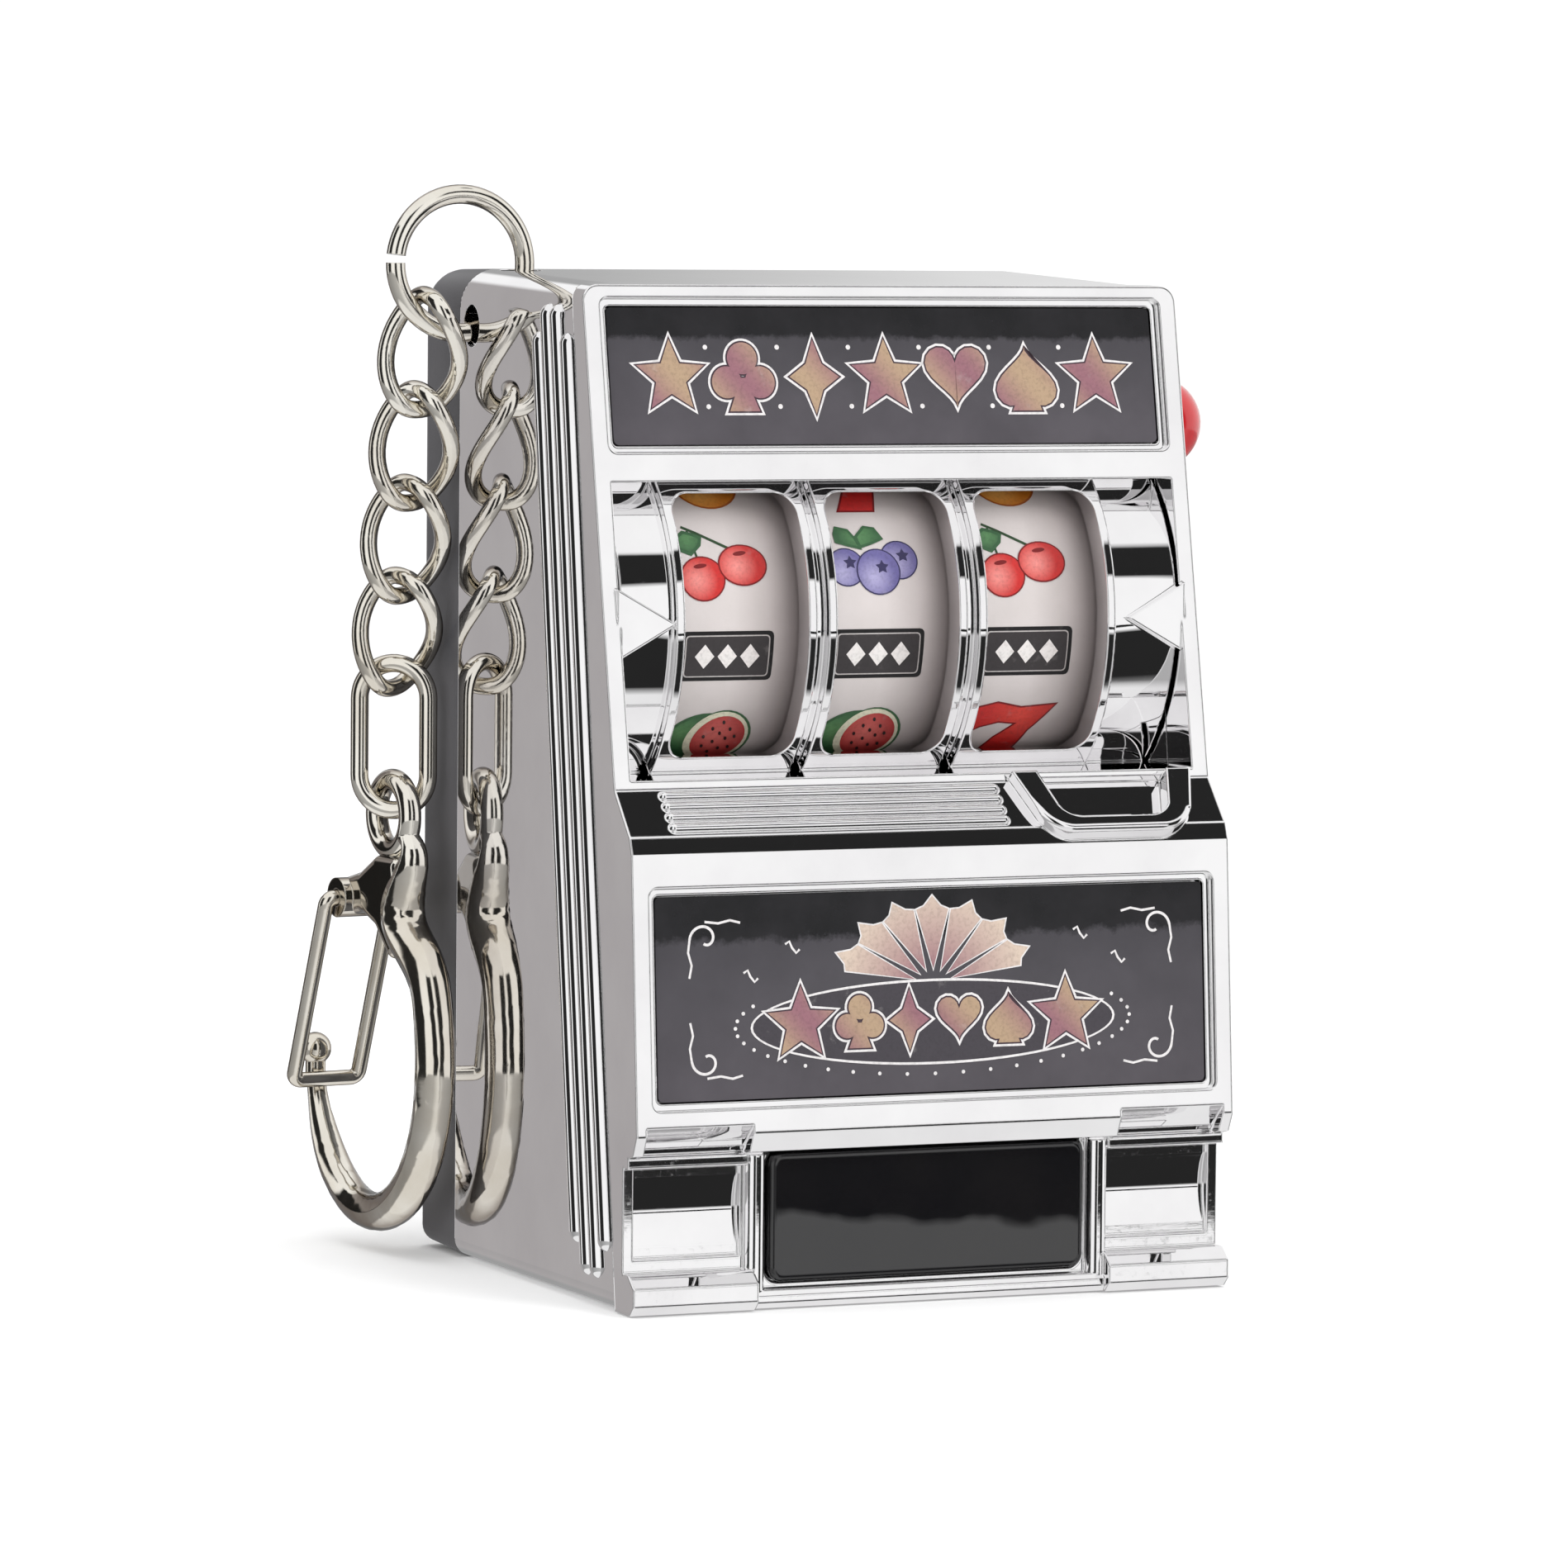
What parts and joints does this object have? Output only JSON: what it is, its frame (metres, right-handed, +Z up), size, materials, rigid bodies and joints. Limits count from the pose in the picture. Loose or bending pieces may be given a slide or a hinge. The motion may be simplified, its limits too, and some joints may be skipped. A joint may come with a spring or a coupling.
{
  "type": "toy slot machine on a key chain",
  "caption": "Key-ring slot machine toy: chromed case with printed reels behind curved windows, a side pull lever, and a split ring with curb chain and trigger clasp.",
  "frame": {"origin": "centre of the case's underside, where it stands on its base", "axes": "+X to the viewer's right of the front face, +Y to the back, +Z up"},
  "size_m": [0.0485, 0.04, 0.0609],
  "materials": {
    "chrome_plate": "bright chrome plating on moulded plastic",
    "printed_panel": null,
    "black_gloss": "polished black",
    "black_satin": "satin charcoal moulding",
    "zinc_screw": "zinc plated",
    "white_plastic": "moulded white",
    "printed_strip": null,
    "steel": "plain turned steel",
    "spring_steel": "hard drawn wire and strip",
    "red_plastic": "glossy red ball",
    "nickel": "bright nickel plating"
  },
  "bodies": {
    "case": {"main_housing": "chrome_plate", "fascia": "chrome_plate", "marquee_panel": "printed_panel", "belly_panel": "printed_panel", "tray_panel": "black_gloss", "rear_cover": "black_satin", "cover_screw_lower_left": "zinc_screw", "cover_screw_upper_left": "zinc_screw", "cover_screw_lower_right": "zinc_screw", "cover_screw_upper_right": "zinc_screw", "reel_cradle": "black_satin", "cradle_screw_left": "zinc_screw", "cradle_screw_right": "zinc_screw", "detent_leaf_left": "spring_steel", "detent_leaf_centre": "spring_steel", "detent_leaf_right": "spring_steel", "return_spring": "spring_steel"},
    "lever": {"lever_shaft": "steel", "shaft_collar": "steel", "drive_sector": "white_plastic", "lever_arm": "chrome_plate", "lever_knob": "red_plastic"},
    "axle": {"reel_axle": "steel", "drive_pinion": "white_plastic", "axle_spacer": "steel"},
    "left_reel": {"reel_left": "white_plastic", "strip_left": "printed_strip"},
    "centre_reel": {"reel_centre": "white_plastic", "strip_centre": "printed_strip"},
    "right_reel": {"reel_right": "white_plastic", "strip_right": "printed_strip"},
    "ring": {"key_ring": "nickel"},
    "link_1": {"chain_link_1": "nickel"},
    "link_2": {"chain_link_2": "nickel"},
    "link_3": {"chain_link_3": "nickel"},
    "link_4": {"chain_link_4": "nickel"},
    "connector": {"connector_link": "nickel"},
    "clasp": {"clasp_body": "nickel"},
    "gate": {"clasp_gate": "nickel"}
  },
  "joints": [
    {"name": "lever_pull", "type": "hinge", "parent": "case", "child": "lever", "pos_m": [0.0145, 0.004, 0.02456], "axis": [1, 0, 0], "range_deg": [0, 60], "stiffness_Nm_per_rad": 0.002, "springref_deg": -11.46, "deforming": ["return_spring"]},
    {"name": "axle_turn", "type": "hinge", "parent": "case", "child": "axle", "pos_m": [0, -0.0004, 0.037], "axis": [1, 0, 0], "range_deg": [-162, 2]},
    {"name": "reel_left_spin", "type": "hinge", "parent": "case", "child": "left_reel", "pos_m": [-0.0091, -0.0004, 0.037], "axis": [1, 0, 0], "continuous": true, "deforming": ["detent_leaf_left"]},
    {"name": "reel_centre_spin", "type": "hinge", "parent": "case", "child": "centre_reel", "pos_m": [0, -0.0004, 0.037], "axis": [1, 0, 0], "continuous": true, "deforming": ["detent_leaf_centre"]},
    {"name": "reel_right_spin", "type": "hinge", "parent": "case", "child": "right_reel", "pos_m": [0.0091, -0.0004, 0.037], "axis": [1, 0, 0], "continuous": true, "deforming": ["detent_leaf_right"]},
    {"name": "ring_turn", "type": "hinge", "parent": "case", "child": "ring", "pos_m": [-0.0187, 0.0086, 0.0565], "axis": [0, 1, 0], "range_deg": [0, 50]},
    {"name": "link_1_swing", "type": "hinge", "parent": "ring", "child": "link_1", "pos_m": [-0.02065, 0.0086, 0.05312], "axis": [0.866, 0, -0.5], "range_deg": [-14, 2]},
    {"name": "link_2_swing", "type": "hinge", "parent": "link_1", "child": "link_2", "pos_m": [-0.02075, 0.00977, 0.04826], "axis": [0.9824, 0.1814, 0.0435], "range_deg": [0, 18]},
    {"name": "link_3_swing", "type": "hinge", "parent": "link_2", "child": "link_3", "pos_m": [-0.02075, 0.01104, 0.04294], "axis": [0.9579, 0.279, 0.067], "range_deg": [0, 18]},
    {"name": "link_4_swing", "type": "hinge", "parent": "link_3", "child": "link_4", "pos_m": [-0.02075, 0.01232, 0.03762], "axis": [0.9234, 0.3732, 0.0896], "range_deg": [0, 18]},
    {"name": "connector_swing", "type": "hinge", "parent": "link_4", "child": "connector", "pos_m": [-0.02075, 0.0136, 0.0323], "axis": [0.8793, 0.4631, 0.1112], "range_deg": [0, 9]},
    {"name": "clasp_swing", "type": "hinge", "parent": "connector", "child": "clasp", "pos_m": [-0.02075, 0.01325, 0.02533], "axis": [0.829, -0.5592, 0], "range_deg": [-12, 2]},
    {"name": "gate_swing", "type": "hinge", "parent": "clasp", "child": "gate", "pos_m": [-0.02125, 0.01732, 0.02005], "axis": [-0.9925, -0.1219, 0], "range_deg": [0, 30], "stiffness_Nm_per_rad": 0.0005, "springref_deg": -5.73}
  ],
  "couplings": [
    {"joint": "axle_turn", "follows": "lever_pull", "ratio": -2.6667}
  ]
}
